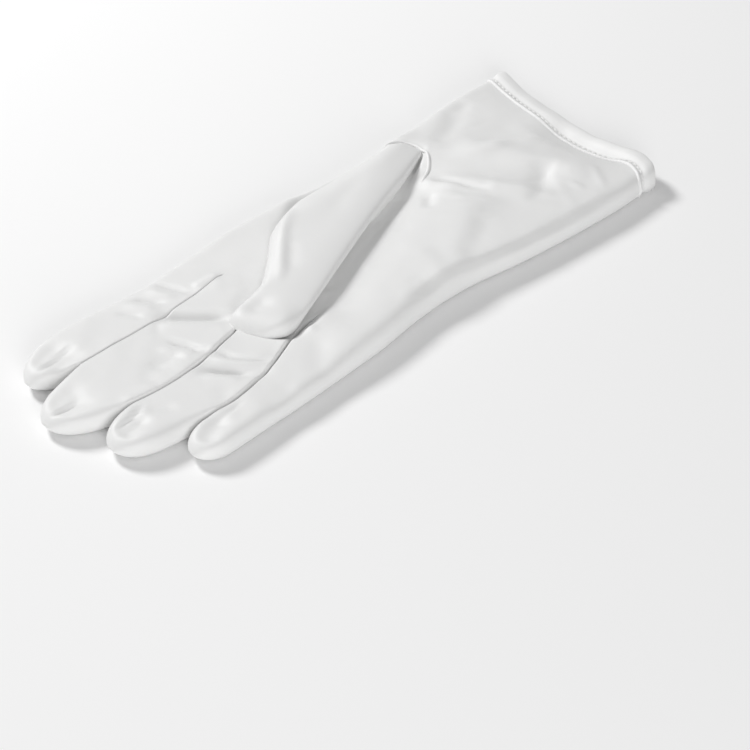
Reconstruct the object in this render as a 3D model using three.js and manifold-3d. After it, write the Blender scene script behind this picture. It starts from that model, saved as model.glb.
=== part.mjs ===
// A silk dress glove for the right hand, lying palm up on a flat surface with its thumb folded over the palm.
// The glove is a sewn hand with four fingers, a thumb let into the palm, a strip of cloth between each two
// fingers, and a turned hem round its mouth. It is hollow from the mouth to every fingertip.
// Units are millimetres. +Y runs from the mouth to the fingertips, +X to the thumb's side, +Z up.
import * as THREE from 'three';
import Module from 'manifold-3d';

const wasm = await Module();
wasm.setup();

// Driving dimensions
const gloveLength = 270; // from the mouth to the tip of the middle finger
const palmWidth = 88; // across the knuckles, lying flat
const palmLoft = 11; // height of the palm above the surface
const fingerLoft = 9;
const seamHeight = 0.42; // where the sides turn from one layer to the other, as a share of the loft
const knuckles = { from: 0.6, to: 0.72 }; // where the palm passes into the fingers, as shares of the length
const edgeRound = 9; // how far in from its side the palm reaches its full height
const fingerRound = 4.5;
const soleRound = 4.5; // the same for the layer that lies below
const tipRound = 10; // how far in from its tip a finger reaches its full height
const tipWidth = 0.15; // width of a finger's very end, as a share of the finger's width
const fingerGap = 0.8;
const grooveRun = { upper: 13, lower: 10 }; // how far before a crotch the line between two fingers deepens
const grooveRound = 0.8; // how narrow that groove is, as a share of the rounding of a finger's side
const thumbLength = 131; // from the low end of its seam to its tip
const thumbWidth = 31;
const thumbLoft = 8.6; // height of the thumb above the palm that it lies on
const thumbTilt = 25; // degrees that it leans over the palm
const thumbBed = 6.8; // height of the palm where the thumb presses it down
const thumbClear = 0.4; // how far the thumb is kept above that
const thumbMouth = 48; // length of the opening under the thumb
const thumbSink = 3.1; // how far the thumb dips into the palm along its opening
const thumbRise = 7; // and the length over which it rises out again
// How far around the thumb the palm is still pressed, as shares of the thumb's width and length
const pressed = { near: 0.25, far: 0.3, start: 0.1, end: 0.08 };
const cloth = 1; // thickness of a wall
const hemDepth = 11;
const hemThickness = 2;
const hemProud = 0.5; // how far the hem stands out from the wall
const hemSetIn = 0.6; // how far in from the mouth's edge its inner face starts
const seamGap = 0.3; // clearance between two sewn pieces

// How finely the cloth is divided
const palmRows = 24;
const fingerRows = 5;
const tipRows = 5;
const fingerColumns = [0, 0.06, 0.24, 0.5, 0.76, 0.94, 1]; // shares of a finger's width
const thumbRows = 20;
const thumbCrowding = 1.35; // above 1, its rows lie closer together towards its tip
const thumbColumns = [0, 0.07, 0.25, 0.45, 0.64, 0.81, 0.94, 1];

// Lines along the glove as shares of the palm's width from its axis: its two sides, and the lines that part
// its fingers. The rows are shares of the glove's length.
const OUTLINE = [
  { at: 0, little: -0.583, ring: -0.295, middle: -0.045, index: 0.224, thumb: 0.467 },
  { at: 0.08, little: -0.601, ring: -0.295, middle: -0.045, index: 0.205, thumb: 0.442 },
  { at: 0.2, little: -0.599, ring: -0.295, middle: -0.051, index: 0.192, thumb: 0.409 },
  { at: 0.3, little: -0.582, ring: -0.295, middle: -0.057, index: 0.176, thumb: 0.378 },
  { at: 0.4, little: -0.548, ring: -0.284, middle: -0.068, index: 0.159, thumb: 0.368 },
  { at: 0.49, little: -0.561, ring: -0.295, middle: -0.08, index: 0.148, thumb: 0.376 },
  { at: 0.57, little: -0.6, ring: -0.307, middle: -0.091, index: 0.142, thumb: 0.376 },
  { at: 0.63, little: -0.617, ring: -0.316, middle: -0.109, index: 0.135, thumb: 0.359 },
  { at: 0.67, little: -0.627, ring: -0.365, middle: -0.13, index: 0.131, thumb: 0.349 },
  { at: 0.73, little: -0.64, ring: -0.44, middle: -0.185, index: 0.114, thumb: 0.328 },
  { at: 0.79, little: -0.649, ring: -0.485, middle: -0.228, index: 0.1, thumb: 0.331 },
  { at: 0.86, little: -0.661, ring: -0.483, middle: -0.243, index: 0.095, thumb: 0.341 },
  { at: 0.93, little: -0.661, ring: -0.466, middle: -0.225, index: 0.091, thumb: 0.33 },
  { at: 1, little: -0.661, ring: -0.466, middle: -0.21, index: 0.091, thumb: 0.314 },
];
const EDGES = ['little', 'ring', 'middle', 'index', 'thumb'];

// Each finger lies between two of those lines. Its reach, and the crotch that parts it from the finger before
// it, are shares of the glove's length. Its lean is where its tip lies across its width, and its bluntness is
// the length over which it rounds off, as a share of its width.
const FINGERS = [
  { name: 'little', reach: 0.897, crotch: 0, lean: 0.45, bluntness: 0.8 },
  { name: 'ring', reach: 0.966, crotch: 0.626, lean: 0.5, bluntness: 0.8 },
  { name: 'middle', reach: 1, crotch: 0.67, lean: 0.5, bluntness: 0.95 },
  { name: 'index', reach: 0.967, crotch: 0.67, lean: 0.42, bluntness: 1.1 },
];

// How far the mouth's edge is set back from its thumb corner, as shares of the glove's length. The rows are
// shares of its width from the little finger's side.
const MOUTH = [
  { at: 0, upper: 0.033, lower: 0.033 },
  { at: 0.05, upper: 0.023, lower: 0.018 },
  { at: 0.12, upper: 0.016, lower: 0.014 },
  { at: 0.25, upper: 0.021, lower: 0.013 },
  { at: 0.5, upper: 0.023, lower: 0.012 },
  { at: 0.75, upper: 0.018, lower: 0.01 },
  { at: 0.87, upper: 0.01, lower: 0.007 },
  { at: 1, upper: 0, lower: 0 },
];
const mouthRun = 0.25; // how far along the glove its rows still follow the mouth's edge, as a share

// Height of the palm as a share of its loft, at shares of the glove's length.
const LOFT = [
  { at: 0, loft: 0.84 },
  { at: 0.12, loft: 0.95 },
  { at: 0.35, loft: 1 },
  { at: 0.55, loft: 0.93 },
  { at: 0.68, loft: 0.86 },
];

// Folds of the upper layer, each a stroke between two points. Places along are shares of the glove's length,
// places across and the spread are shares of the palm's width, and the rise is a share of its loft.
const FOLDS = {
  mouthSag: { along: 0, across: 0.3, toAlong: 0.02, toAcross: -0.15, rise: -0.3, spread: 0.2 },
  hemValley: { along: 0.1, across: 0.17, toAlong: 0.08, toAcross: -0.39, rise: -0.28, spread: 0.055 },
  cuffHollow: { along: 0.21, across: 0.35, toAlong: 0.12, toAcross: 0.11, rise: -0.2, spread: 0.1 },
  cuffRidge: { along: 0.19, across: 0.07, toAlong: 0.12, toAcross: -0.35, rise: 0.16, spread: 0.075 },
  seamRidge: { along: 0.29, across: 0.02, toAlong: 0.2, toAcross: -0.38, rise: 0.2, spread: 0.05 },
  seamCrease: { along: 0.29, across: 0.06, toAlong: 0.24, toAcross: -0.23, rise: -0.16, spread: 0.03 },
  cuffDent: { along: 0.15, across: -0.19, toAlong: 0.23, toAcross: -0.43, rise: -0.24, spread: 0.05 },
  sideRidge: { along: 0.3, across: -0.24, toAlong: 0.42, toAcross: -0.53, rise: 0.14, spread: 0.1 },
  thumbValley: { along: 0.3, across: 0.06, toAlong: 0.57, toAcross: -0.32, rise: -0.26, spread: 0.11 },
  palmSwell: { along: 0.45, across: -0.43, toAlong: 0.6, toAcross: -0.5, rise: 0.1, spread: 0.12 },
  knuckleCrease: { along: 0.76, across: 0.09, toAlong: 0.7, toAcross: -0.07, rise: -0.13, spread: 0.035 },
  ringCrease: { along: 0.79, across: -0.28, toAlong: 0.74, toAcross: -0.43, rise: -0.12, spread: 0.035 },
};

// Dents where the fingertips have fallen in, as shares of the glove's length, of the finger's width, of its
// loft and of the palm's width in turn.
const TIP_DENTS = [
  { finger: 'little', along: 0.85, toAlong: 0.8, within: 0.7, sink: -0.3, spread: 0.04 },
  { finger: 'ring', along: 0.93, toAlong: 0.86, within: 0.72, sink: -0.25, spread: 0.04 },
  { finger: 'middle', along: 0.96, toAlong: 0.91, within: 0.62, sink: -0.32, spread: 0.045 },
  { finger: 'index', along: 0.93, toAlong: 0.87, within: 0.55, sink: -0.32, spread: 0.045 },
];

// The thumb's sides as shares of its width from the line of its fold, the height of its top as a share of its
// loft, and how far in its far side reaches that height. The rows are shares of its length.
const THUMB_SECTIONS = [
  { at: 0, near: 0.02, far: 0.1, top: -0.1, farRound: 0.1 },
  { at: 0.04, near: -0.03, far: 0.24, top: 0.5, farRound: 0.2 },
  { at: 0.1, near: -0.05, far: 0.34, top: 0.8, farRound: 0.3 },
  { at: 0.21, near: -0.05, far: 0.53, top: 0.95, farRound: 0.5 },
  { at: 0.3, near: -0.05, far: 0.68, top: 1, farRound: 0.65 },
  { at: 0.39, near: -0.05, far: 0.82, top: 1, farRound: 0.7 },
  { at: 0.46, near: -0.05, far: 0.88, top: 1, farRound: 0.6 },
  { at: 0.59, near: -0.05, far: 0.88, top: 0.97, farRound: 0.32 },
  { at: 0.71, near: -0.05, far: 0.71, top: 0.93, farRound: 0.25 },
  { at: 0.82, near: -0.05, far: 0.58, top: 0.88, farRound: 0.22 },
  { at: 0.88, near: -0.04, far: 0.59, top: 0.85, farRound: 0.2 },
  { at: 0.94, near: -0.02, far: 0.64, top: 0.82, farRound: 0.2 },
  { at: 1, near: 0.04, far: 0.5, top: 0.8, farRound: 0.2 },
];
const thumbStart = { along: 0.237, across: 0.293 }; // the low end of the thumb's seam
const thumbNearRound = 0.13; // how far in the thumb's fold reaches its full height, as a share of its width
const thumbSoleRound = 0.1; // the same for both sides of its lower face
const thumbTipRound = 0.07; // and its tip, as a share of its length
const thumbSeamHeight = 0.4; // where its sides turn from one face to the other, as a share of its height
// The dent beside its far side, in shares of its length, its width and its loft
const thumbDent = { at: 0.82, toAt: 0.62, within: 0.22, sink: -0.28, spread: 0.14 };

// The hem's cross-section: how far along it, and how far out as a share of how proud it stands.
const HEM_PROFILE = [
  { along: 0, out: -0.6 },
  { along: 0.05, out: 0.3 },
  { along: 0.25, out: 1 },
  { along: 0.7, out: 0.85 },
  { along: 1, out: 0.2 },
];

const clamp = THREE.MathUtils.clamp;
const mix = THREE.MathUtils.lerp;
const ease = THREE.MathUtils.smoothstep; // takes a value, and where it starts and ends
const bulge = (share) => Math.sqrt(1 - (1 - clamp(share, 0, 1)) ** 2); // rises as a quarter circle does

// A column of a table at any place between its rows, on a smooth curve.
function read(table, column, at) {
  const last = table.length - 1;
  const x = clamp(at, table[0].at, table[last].at);
  const i = clamp(table.findIndex((row) => row.at >= x), 1, last) - 1;
  const slope = (j) => {
    const before = table[Math.max(j - 1, 0)];
    const after = table[Math.min(j + 1, last)];
    return (after[column] - before[column]) / (after.at - before.at);
  };
  const span = table[i + 1].at - table[i].at;
  const t = (x - table[i].at) / span;
  return (
    table[i][column] * (1 + 2 * t) * (1 - t) ** 2 +
    slope(i) * span * t * (1 - t) ** 2 +
    table[i + 1][column] * t * t * (3 - 2 * t) -
    slope(i + 1) * span * t * t * (1 - t)
  );
}

// How strongly a stroke from one point to another acts at a place: 1 on it, fading over its spread.
function stroke(place, from, to, spread) {
  const dx = to.x - from.x;
  const dy = to.y - from.y;
  const t = clamp(((place.x - from.x) * dx + (place.y - from.y) * dy) / (dx * dx + dy * dy), 0, 1);
  const away = Math.hypot(place.x - from.x - t * dx, place.y - from.y - t * dy);
  return Math.exp(-((away / spread) ** 2));
}

// The thumb's own directions: along its fold, and across it to the thumb's side of the glove.
const tilt = THREE.MathUtils.degToRad(thumbTilt);
const thumbAlong = { x: -Math.sin(tilt), y: Math.cos(tilt) };
const thumbAcross = { x: Math.cos(tilt), y: Math.sin(tilt) };
const thumbOrigin = { x: thumbStart.across * palmWidth, y: thumbStart.along * gloveLength };

// How much a place on the palm is pressed down by the thumb lying on it.
function underThumb(x, y) {
  const dx = x - thumbOrigin.x;
  const dy = y - thumbOrigin.y;
  const along = (dx * thumbAlong.x + dy * thumbAlong.y) / thumbLength;
  const across = (dx * thumbAcross.x + dy * thumbAcross.y) / thumbWidth;
  const near = read(THUMB_SECTIONS, 'near', along);
  const far = read(THUMB_SECTIONS, 'far', along);
  const sideways = ease(across, near - pressed.near, near) * (1 - ease(across, far, far + pressed.far));
  return sideways * ease(along, 0, pressed.start) * (1 - ease(along, 1, 1 + pressed.end));
}

// The sides of a finger, or of its share of the palm, at a distance from the mouth.
function fingerSides(finger, y) {
  const line = (edge) => palmWidth * read(OUTLINE, EDGES[edge], y / gloveLength);
  const parted = (crotch) => 0.5 * fingerGap * ease(y, crotch * gloveLength, crotch * gloveLength + tipRound);
  const left = line(finger) + (finger > 0 ? parted(FINGERS[finger].crotch) : 0);
  const right = line(finger + 1) - (finger < FINGERS.length - 1 ? parted(FINGERS[finger + 1].crotch) : 0);
  const { reach, lean, bluntness } = FINGERS[finger];
  const rounding = bluntness * (right - left);
  const beyond = clamp((y - reach * gloveLength) / rounding + 1, 0, 1);
  const narrow = Math.max(Math.sqrt(1 - beyond ** 2), tipWidth);
  const centre = mix(left, right, lean);
  return { left: mix(centre, left, narrow), right: mix(centre, right, narrow), rounding };
}

function foldHeight(place) {
  let height = 0;
  for (const fold of Object.values(FOLDS)) {
    const from = { x: fold.across * palmWidth, y: fold.along * gloveLength };
    const to = { x: fold.toAcross * palmWidth, y: fold.toAlong * gloveLength };
    height += fold.rise * palmLoft * stroke(place, from, to, fold.spread * palmWidth);
  }
  for (const dent of TIP_DENTS) {
    const finger = FINGERS.findIndex((each) => each.name === dent.finger);
    const end = (along) => {
      const { left, right } = fingerSides(finger, along * gloveLength);
      return { x: mix(left, right, dent.within), y: along * gloveLength };
    };
    const strength = stroke(place, end(dent.along), end(dent.toAlong), dent.spread * palmWidth);
    height += dent.sink * fingerLoft * strength;
  }
  return height;
}

// How far the mouth's edge is set back at a place across it.
function mouthSetback(x, upper) {
  const [low, high] = [OUTLINE[0].little * palmWidth, OUTLINE[0].thumb * palmWidth];
  return gloveLength * read(MOUTH, upper ? 'upper' : 'lower', (x - low) / (high - low));
}

// How full the hand is at a distance in from a side, or from a line that parts two fingers. Before a crotch
// the line is a groove that deepens and stays narrow, and in the fingers it rounds off as a side does.
function besideLine(line, inside, y, rounding, upper) {
  if (line === 0 || line === FINGERS.length) return bulge(inside / rounding);
  const crotch = FINGERS[line].crotch * gloveLength;
  const widening = ease(y, crotch, crotch + 2 * tipRound);
  const deepening = ease(y, crotch - (upper ? grooveRun.upper : grooveRun.lower), crotch);
  return mix(1, bulge(inside / (rounding * mix(grooveRound, 1, widening))), deepening);
}

// A point of the hand's outer face: in a finger's share of the width, across that share, at a distance from
// the mouth, on the upper or the lower layer.
function handPoint(finger, share, y, upper) {
  const { left, right } = fingerSides(finger, y);
  const x = mix(left, right, share);
  const place = { x, y: y + mouthSetback(x, upper) * (1 - ease(y, 0, mouthRun * gloveLength)) };
  const inFinger = ease(y / gloveLength, knuckles.from, knuckles.to);
  const rounding = upper ? mix(edgeRound, fingerRound, inFinger) : soleRound;
  const fromLeft = besideLine(finger, x - left, y, rounding, upper);
  const fromRight = besideLine(finger + 1, right - x, y, rounding, upper);
  const fullness = fromLeft * fromRight * bulge((FINGERS[finger].reach * gloveLength - y) / tipRound);
  const full = mix(palmLoft * read(LOFT, 'loft', y / gloveLength), fingerLoft, inFinger);
  const middle = seamHeight * full;
  if (!upper) return new THREE.Vector3(x, place.y, middle * (1 - fullness));
  const folded = full + foldHeight(place);
  const height = mix(folded, Math.min(folded, thumbBed), underThumb(x, place.y));
  return new THREE.Vector3(x, place.y, middle + (height - middle) * fullness);
}

// A sheet of faces over named points, so that pieces sewn to each other share their points.
class Sheet {
  points = [];
  numbers = new Map();
  faces = [];

  point(name, make) {
    if (!this.numbers.has(name)) this.numbers.set(name, this.points.push(make()) - 1);
    return this.numbers.get(name);
  }

  face(piece, corners) {
    const distinct = corners.filter((corner, i) => corner !== corners[(i + 1) % corners.length]);
    if (distinct.length > 2) this.faces.push({ piece, corners: distinct });
  }

  // Each face cut into triangles, a four-sided one across its shorter diagonal.
  triangles(faces = this.faces) {
    const apart = (a, b) => this.points[a].distanceTo(this.points[b]);
    return faces.flatMap(({ corners: [a, b, c, d] }) => {
      if (d === undefined) return [[a, b, c]];
      if (apart(a, c) < apart(b, d)) return [[a, b, c], [a, c, d]];
      return [[a, b, d], [b, c, d]];
    });
  }

  normals() {
    const normals = this.points.map(() => new THREE.Vector3());
    for (const triangle of this.triangles()) {
      const [a, b, c] = triangle.map((corner) => this.points[corner]);
      const turn = b.clone().sub(a).cross(c.clone().sub(a));
      for (const corner of triangle) normals[corner].add(turn);
    }
    return normals.map((normal) => normal.normalize());
  }

  // Joins two layers of points, named by a function, into faces that look up and down.
  layers(piece, columns, row, name) {
    for (let column = 0; column < columns; column += 1) {
      for (const upper of [true, false]) {
        const corners = [
          name(upper, column, row),
          name(upper, column + 1, row),
          name(upper, column + 1, row + 1),
          name(upper, column, row + 1),
        ];
        this.face(typeof piece === 'string' ? piece : piece(column), upper ? corners : corners.reverse());
      }
    }
  }
}

// The whole outer face of the hand, with each finger's columns carried down the palm to the hem. The strips
// between the fingers are the columns beside each parting line.
function weaveHand() {
  const sheet = new Sheet();
  const columns = fingerColumns.length - 1;
  const lastRow = palmRows + fingerRows + tipRows;
  const stripEnd = lastRow - tipRows + 2;
  const crotchRow = (line) => (line === 1 ? palmRows - 1 : palmRows);

  const distance = (finger, row) => {
    if (row < palmRows) return mix(hemDepth, FINGERS[1].crotch * gloveLength, row / (palmRows - 1));
    const root = FINGERS[3].crotch * gloveLength;
    const reach = FINGERS[finger].reach * gloveLength;
    const { rounding } = fingerSides(finger, root);
    if (row <= palmRows + fingerRows) return mix(root, reach - rounding, (row - palmRows) / fingerRows);
    const turn = ((row - palmRows - fingerRows) / tipRows) * 0.5 * Math.PI;
    return reach - rounding * (1 - Math.sin(turn));
  };

  const corner = (finger, upper, column, row) => {
    const make = () => handPoint(finger, fingerColumns[column], distance(finger, row), upper);
    const layer = upper ? 'upper' : 'lower';
    const edge = column === 0 || column === columns;
    const line = column === 0 ? finger : finger + 1;
    const seamed = edge && line > 0 && line < FINGERS.length && row <= crotchRow(line);
    if (seamed && row < crotchRow(line)) return sheet.point(`${layer} line ${line} ${row}`, make);
    if (seamed) return sheet.point(`crotch ${line}`, make);
    if (edge || row === lastRow) return sheet.point(`side ${finger} ${column} ${row}`, make);
    return sheet.point(`${layer} ${finger} ${column} ${row}`, make);
  };

  for (let finger = 0; finger < FINGERS.length; finger += 1) {
    for (let row = 0; row < lastRow; row += 1) {
      const piece = (column) => {
        const line = column === 0 ? finger : column === columns - 1 ? finger + 1 : 0;
        const between = line > 0 && line < FINGERS.length;
        const strip = between && row >= crotchRow(line) - 1 && row < stripEnd;
        return strip ? `fourchette_${FINGERS[line - 1].name}_${FINGERS[line].name}` : 'hand';
      };
      sheet.layers(piece, columns, row, (upper, column, at) => corner(finger, upper, column, at));
    }
  }
  return { sheet, corner };
}

// One piece of a sheet as a closed wall: its outer face, its inner face, and a rim along its cut edges, which
// are drawn back so that sewn pieces keep a small gap. A grown wall is that much bigger all round.
function wall(sheet, piece, normals, grown = 0) {
  const faces = sheet.faces.filter((face) => face.piece === piece);
  const edges = new Map();
  for (const { corners } of faces) {
    corners.forEach((from, i) => {
      const to = corners[(i + 1) % corners.length];
      if (edges.has(`${to} ${from}`)) edges.delete(`${to} ${from}`);
      else edges.set(`${from} ${to}`, [from, to]);
    });
  }
  const inward = new Map();
  for (const [from, to] of edges.values()) {
    const along = sheet.points[to].clone().sub(sheet.points[from]).normalize();
    for (const end of [from, to]) {
      const into = normals[end].clone().cross(along);
      inward.set(end, (inward.get(end) ?? new THREE.Vector3()).add(into));
    }
  }
  const used = [...new Set(faces.flatMap(({ corners }) => corners))];
  const place = new Map(used.map((point, i) => [point, i]));
  const outer = used.map((point) => {
    const back = inward.get(point)?.clone().normalize() ?? new THREE.Vector3();
    const drawn = sheet.points[point].clone().addScaledVector(back, 0.5 * seamGap - grown);
    return drawn.addScaledVector(normals[point], grown);
  });
  const thickness = cloth + 2 * grown;
  const inner = used.map((point, i) => outer[i].clone().addScaledVector(normals[point], -thickness));
  const triangles = [];
  for (const triangle of sheet.triangles(faces)) {
    const [a, b, c] = triangle.map((point) => place.get(point));
    triangles.push([a, b, c], [c + used.length, b + used.length, a + used.length]);
  }
  for (const [from, to] of edges.values()) {
    const [a, b] = [place.get(from), place.get(to)];
    triangles.push([b, a, a + used.length], [b, a + used.length, b + used.length]);
  }
  return { points: [...outer, ...inner], triangles };
}

// Every point of a closed sheet moved out along its normal.
function swollen(sheet, distance) {
  const normals = sheet.normals();
  const points = sheet.points.map((point, i) => point.clone().addScaledVector(normals[i], distance));
  return { points, triangles: sheet.triangles() };
}

// A point of the thumb's outer face, by shares across and along it. Over its opening the lower face dips
// into the palm, and past that it lies on the palm.
function thumbPoint(share, at, upper) {
  const left = read(THUMB_SECTIONS, 'near', at) * thumbWidth;
  const right = read(THUMB_SECTIONS, 'far', at) * thumbWidth;
  const across = mix(left, right, share);
  const along = at * thumbLength;
  const bed = thumbBed + thumbClear;
  const floor = mix(bed - thumbSink, bed, ease(along, thumbMouth, thumbMouth + thumbRise));
  const ridge = (where) => ({ x: read(THUMB_SECTIONS, 'far', where) - thumbDent.within, y: where });
  const here = { x: across / thumbWidth, y: at };
  const dented = thumbDent.sink * stroke(here, ridge(thumbDent.at), ridge(thumbDent.toAt), thumbDent.spread);
  const top = bed + thumbLoft * (read(THUMB_SECTIONS, 'top', at) + dented);
  const middle = mix(floor, Math.max(top, floor + 2 * cloth), thumbSeamHeight);
  const tip = bulge((1 - at) / thumbTipRound);
  const nearRound = (upper ? thumbNearRound : thumbSoleRound) * thumbWidth;
  const farRound = (upper ? read(THUMB_SECTIONS, 'farRound', at) : thumbSoleRound) * thumbWidth;
  const fullness = bulge((across - left) / nearRound) * bulge((right - across) / farRound) * tip;
  return new THREE.Vector3(
    thumbOrigin.x + along * thumbAlong.x + across * thumbAcross.x,
    thumbOrigin.y + along * thumbAlong.y + across * thumbAcross.y,
    mix(middle, upper ? top : floor, fullness),
  );
}

// The thumb's outer face, a flat tube that is closed at both ends.
function weaveThumb() {
  const sheet = new Sheet();
  const columns = thumbColumns.length - 1;
  const corner = (upper, column, row) => {
    const shared = column === 0 || column === columns || row === thumbRows;
    const name = shared ? `side ${column} ${row}` : `${upper} ${column} ${row}`;
    const along = 1 - (1 - row / thumbRows) ** thumbCrowding;
    return sheet.point(name, () => thumbPoint(thumbColumns[column], along, upper));
  };
  for (let row = 0; row < thumbRows; row += 1) sheet.layers('thumb', columns, row, corner);
  for (let column = 0; column < columns; column += 1) {
    const corners = [corner(false, column, 0), corner(false, column + 1, 0)];
    sheet.face('thumb', [...corners, corner(true, column + 1, 0), corner(true, column, 0)]);
  }
  return sheet;
}

// The turned hem, a thicker band round the mouth that stands a little proud and rounds over at its edge.
function weaveHem() {
  const loop = [];
  for (const upper of [true, false]) {
    const fingers = [...FINGERS.keys()];
    for (const finger of upper ? fingers : fingers.reverse()) {
      const shares = upper ? fingerColumns.slice(0, -1) : [...fingerColumns].reverse().slice(0, -1);
      for (const share of shares) loop.push({ finger, share, upper });
    }
  }
  const depth = hemDepth - seamGap;
  const outside = HEM_PROFILE.map(({ along, out }) => ({ along: along * depth, out: out * hemProud }));
  const inside = hemProud - hemThickness;
  const lining = HEM_PROFILE.map(({ along }) => ({ along: mix(hemSetIn, depth, along), out: inside }));
  const profile = [...outside, ...lining.reverse()];
  const around = loop.length;
  const place = (i, along) => {
    const { finger, share, upper } = loop[(i + around) % around];
    return handPoint(finger, share, along, upper);
  };
  const sheet = new Sheet();
  const ring = (i, j) =>
    sheet.point(`${i % around} ${j % profile.length}`, () => {
      const { along, out } = profile[j % profile.length];
      const chord = place(i + 1, along).sub(place(i - 1, along));
      const outward = new THREE.Vector3(-chord.z, 0, chord.x).normalize();
      const lies = outward.z < -0.7; // it faces down, to the surface that the glove lies on
      return place(i, along).addScaledVector(outward, lies ? Math.min(out, 0) : out);
    });
  for (let i = 0; i < around; i += 1) {
    for (let j = 0; j < profile.length; j += 1) {
      sheet.face('hem', [ring(i, j), ring(i + 1, j), ring(i + 1, j + 1), ring(i, j + 1)]);
    }
  }
  return { points: sheet.points, triangles: sheet.triangles() };
}

function solid({ points, triangles }) {
  return new wasm.Manifold(
    new wasm.Mesh({
      numProp: 3,
      vertProperties: new Float32Array(points.flatMap((point) => point.toArray())),
      triVerts: new Uint32Array(triangles.flat()),
    }),
  );
}

function geometryOf(body) {
  const mesh = body.getMesh();
  const geometry = new THREE.BufferGeometry();
  geometry.setAttribute('position', new THREE.BufferAttribute(new Float32Array(mesh.vertProperties), 3));
  geometry.setIndex(new THREE.BufferAttribute(new Uint32Array(mesh.triVerts), 1));
  geometry.computeVertexNormals();
  return geometry;
}

const { sheet: handSheet, corner: handCorner } = weaveHand();
const handNormals = handSheet.normals();
const thumbSheet = weaveThumb();
const thumbHollow = solid(swollen(thumbSheet, -cloth));

// The hand's whole body with its mouth closed, swollen by the gap that the thumb keeps from it.
function handBody() {
  const body = swollen(handSheet, seamGap);
  for (let finger = 0; finger < FINGERS.length; finger += 1) {
    for (let column = 0; column < fingerColumns.length - 1; column += 1) {
      const [a, b] = [column, column + 1].map((each) => handCorner(finger, false, each, 0));
      const [d, c] = [column, column + 1].map((each) => handCorner(finger, true, each, 0));
      if (b !== c) body.triangles.push([a, b, c]);
      if (a !== d) body.triangles.push([a, c, d]);
    }
  }
  return solid(body);
}

const largest = (body) => body.decompose().sort((a, b) => b.volume() - a.volume())[0];
const pieces = {
  hand: largest(solid(wall(handSheet, 'hand', handNormals)).subtract(thumbHollow)),
  thumb: largest(solid(swollen(thumbSheet, 0)).subtract(thumbHollow).subtract(handBody())),
  cuff_hem: solid(weaveHem()),
};
const handRoom = solid(wall(handSheet, 'hand', handNormals, 0.5 * seamGap));
for (const [before, { name }] of FINGERS.slice(1).entries()) {
  const strip = `fourchette_${FINGERS[before].name}_${name}`;
  pieces[strip] = largest(solid(wall(handSheet, strip, handNormals)).subtract(handRoom));
}

const glove = new THREE.Group();
for (const [name, body] of Object.entries(pieces)) {
  const silk = new THREE.MeshStandardMaterial({ color: 0xf1f0ee, roughness: 0.55, metalness: 0 });
  const mesh = new THREE.Mesh(geometryOf(body), silk);
  mesh.name = name;
  glove.add(mesh);
}

// The origin is at the middle of the glove's length and width, on the surface that it lies on.
const box = new THREE.Box3().setFromObject(glove);
const centre = box.getCenter(new THREE.Vector3());
glove.position.set(-centre.x, -centre.y, -box.min.z);

export default glove;
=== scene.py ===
# %% [markdown]
# # A silk dress glove, lying palm up
# The glove is cut from one layer of fine white silk knit and sewn: a hand with four fingers, a thumb let into
# the palm, a narrow strip between each two fingers, and a turned hem round the mouth. Empty, it lies almost
# flat, and all that gives it shape is its seams and a few soft folds. The imported model is loaded first. It
# fixes the place of every piece, and each piece below stands for one or more of its solids.

# %% The frame
import math
import bmesh
import bpy
import numpy as np
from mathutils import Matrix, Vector
from mathutils.bvhtree import BVHTree


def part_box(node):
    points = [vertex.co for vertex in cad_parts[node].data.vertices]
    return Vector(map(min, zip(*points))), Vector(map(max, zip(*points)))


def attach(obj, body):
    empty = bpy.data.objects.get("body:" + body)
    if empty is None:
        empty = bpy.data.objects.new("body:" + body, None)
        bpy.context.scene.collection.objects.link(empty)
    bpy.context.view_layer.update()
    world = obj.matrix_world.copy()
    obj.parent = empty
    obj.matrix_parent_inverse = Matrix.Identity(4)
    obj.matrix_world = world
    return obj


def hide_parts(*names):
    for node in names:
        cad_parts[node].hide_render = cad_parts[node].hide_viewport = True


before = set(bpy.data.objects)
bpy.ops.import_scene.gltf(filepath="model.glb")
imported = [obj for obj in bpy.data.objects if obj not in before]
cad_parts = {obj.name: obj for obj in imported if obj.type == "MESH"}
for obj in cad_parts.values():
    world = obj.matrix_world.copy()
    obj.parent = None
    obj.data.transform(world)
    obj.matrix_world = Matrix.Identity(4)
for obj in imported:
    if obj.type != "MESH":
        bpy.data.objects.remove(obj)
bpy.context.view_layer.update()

MM = 0.001
print("solids:", len(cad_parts))

# %% [markdown]
# ## The cut of the glove
# A glove could be sculpted, or photographed from all sides and traced. Here it is drawn as a cutter draws it:
# a few lines that run along the glove, and one table for each thing that changes on the way. Lengths are in
# millimetres. Places along are shares of the glove's length and places across are shares of the palm's width,
# so that one number changes the size of the glove and leaves its cut as it is.

# %% Sizes and tables
GLOVE_LENGTH = 270
PALM_WIDTH = 88
PALM_LOFT = 11
FINGER_LOFT = 9
THUMB_LENGTH = 133
THUMB_WIDTH = 31
THUMB_LOFT = 8.6
THUMB_TILT = math.radians(25)
THUMB_START = (0.293 * PALM_WIDTH, 0.237 * GLOVE_LENGTH)
THUMB_BED = 6.8
THUMB_CLEAR = 0.35
HEM_DEPTH = 11
# How wide the silk turns over at the palm's sides, at the fingers' sides and on the layer below.
EDGE_ROUND, FINGER_ROUND, SOLE_ROUND = 6, 5, 4
# The two layers meet at this share of the height.
SEAM_HEIGHT = 0.42


def table(columns, *rows):
    """A table with named columns. The one called at says where each row belongs."""
    return dict(zip(columns.split(), np.array(rows, float).T))


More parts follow.
